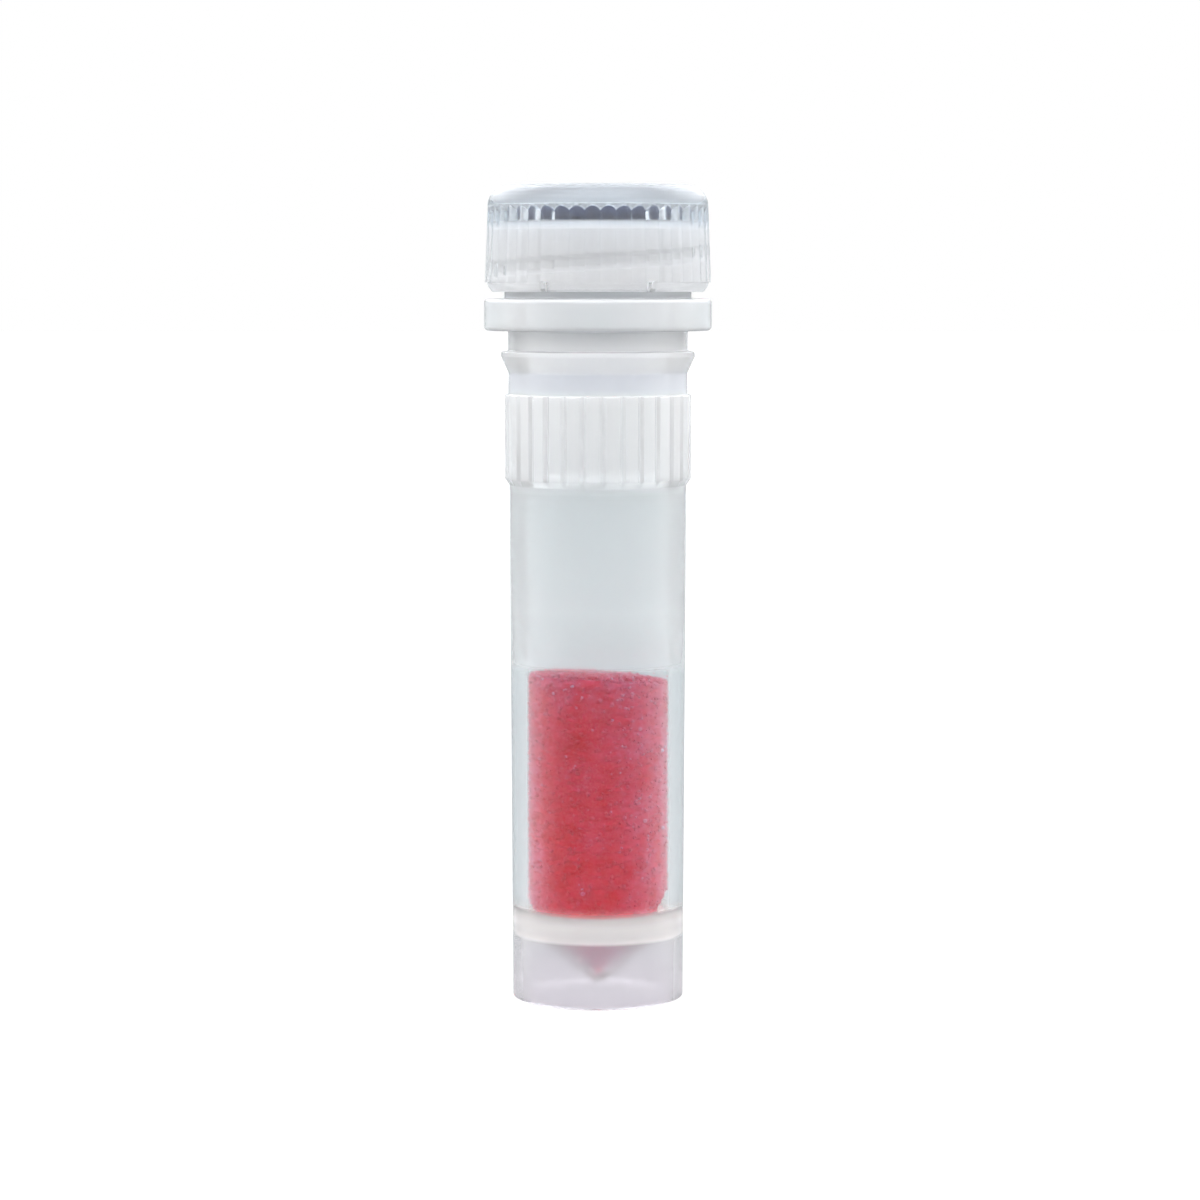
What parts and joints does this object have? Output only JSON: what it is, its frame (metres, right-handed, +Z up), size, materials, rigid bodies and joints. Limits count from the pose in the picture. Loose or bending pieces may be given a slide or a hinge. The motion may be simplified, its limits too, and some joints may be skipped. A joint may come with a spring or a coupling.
{
  "type": "microcentrifuge tube",
  "caption": "Self-standing screw-cap microcentrifuge tube with a conical bottom, ribbed clear cap and seal ring, part filled with coloured dry grit.",
  "frame": {"origin": "centre of the ring that the tube stands on", "axes": "+Z up along the tube's axis, -Y towards the viewer; the tube is round, so only the thread, ribs and flutes fix the turn about Z"},
  "size_m": [0.0132, 0.0132, 0.0471],
  "materials": {
    "frosted_polypropylene": "satin",
    "clear_cap_plastic": "gloss",
    "seal_rubber": "matte",
    "red_grit": "satin"
  },
  "bodies": {
    "tube": {"tube_body": "frosted_polypropylene", "grain_bed": "red_grit"},
    "seal": {"o_ring": "seal_rubber"},
    "cap": {"screw_cap": "clear_cap_plastic"}
  },
  "joints": [
    {"name": "cap_lift", "type": "slide", "parent": "tube", "child": "seal", "axis": [0, 0, 1], "range_m": [0, 0.006]},
    {"name": "cap_turn", "type": "hinge", "parent": "seal", "child": "cap", "pos_m": [0, 0, 0.0431], "axis": [0, 0, 1], "range_deg": [0, 1080]}
  ],
  "couplings": [
    {"joint": "cap_turn", "follows": "cap_lift", "rad_per_m": 3141.6}
  ]
}
